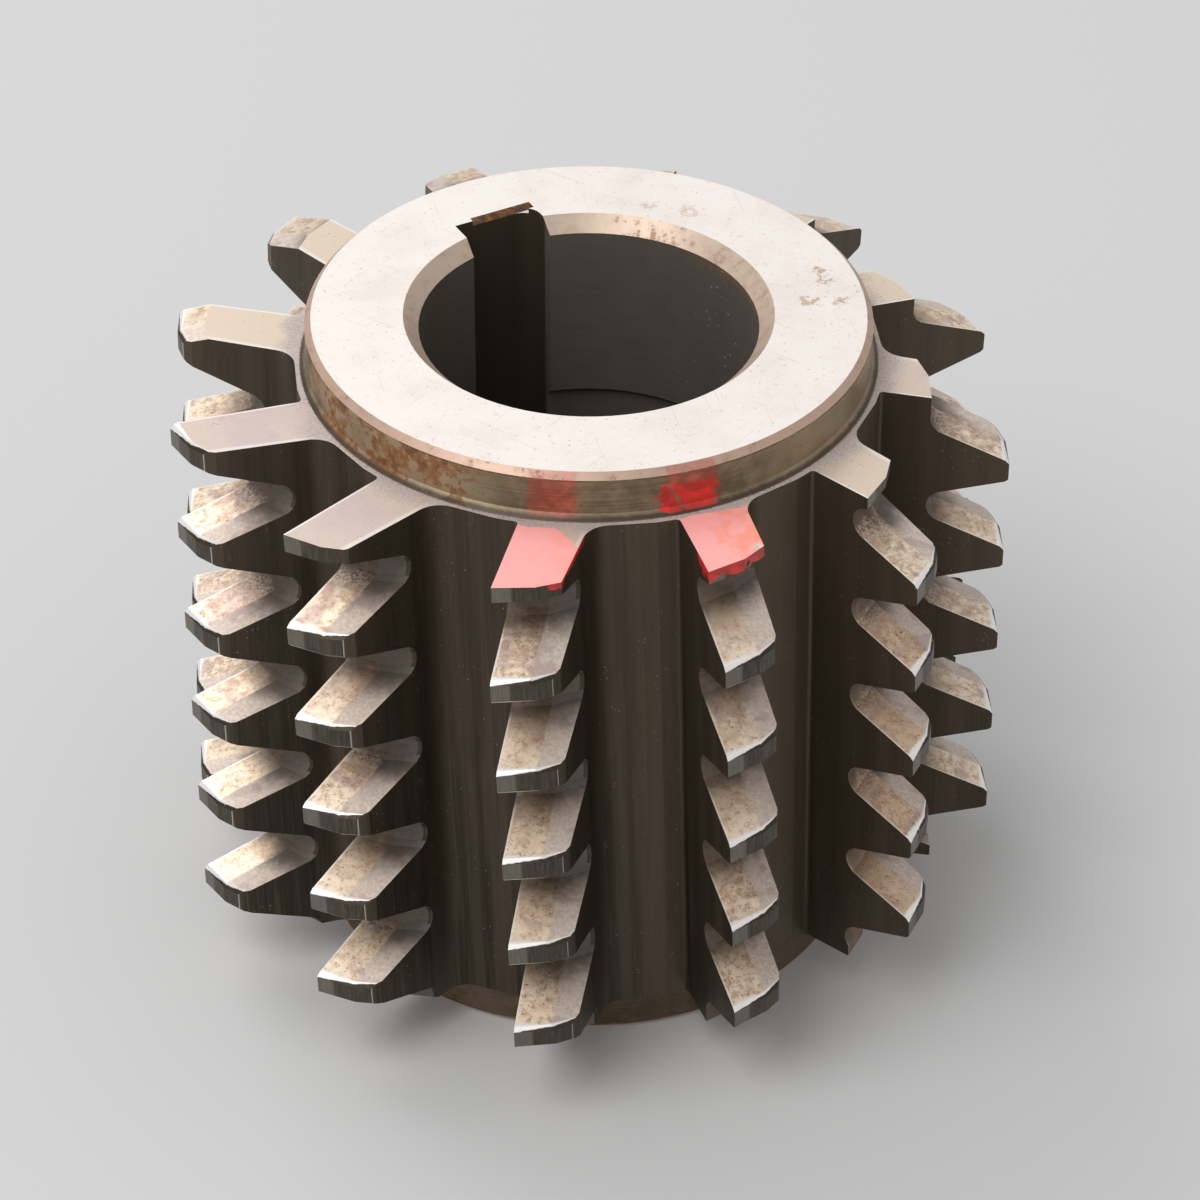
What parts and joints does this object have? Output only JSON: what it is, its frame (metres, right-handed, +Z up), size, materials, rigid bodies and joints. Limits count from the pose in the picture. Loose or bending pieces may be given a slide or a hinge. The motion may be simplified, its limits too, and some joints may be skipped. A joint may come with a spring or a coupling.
{
  "type": "gear hob",
  "caption": "Relieved milling cutter for gear teeth: rows of rack-shaped teeth on a thread, deep gashes between them, a plain hub at each end and a keyed arbor bore.",
  "frame": {"origin": "on the axis, in the lower hub face that the hob stands on", "axes": "+Z up along the bore axis; the camera of the picture looks along +Y and down"},
  "size_m": [0.0671, 0.0671, 0.056],
  "materials": {
    "tool_steel": "ground hub faces and teeth, darkened unground gashes, specks of rust"
  },
  "bodies": {
    "root": {"gear_hob": "tool_steel"}
  },
  "joints": []
}
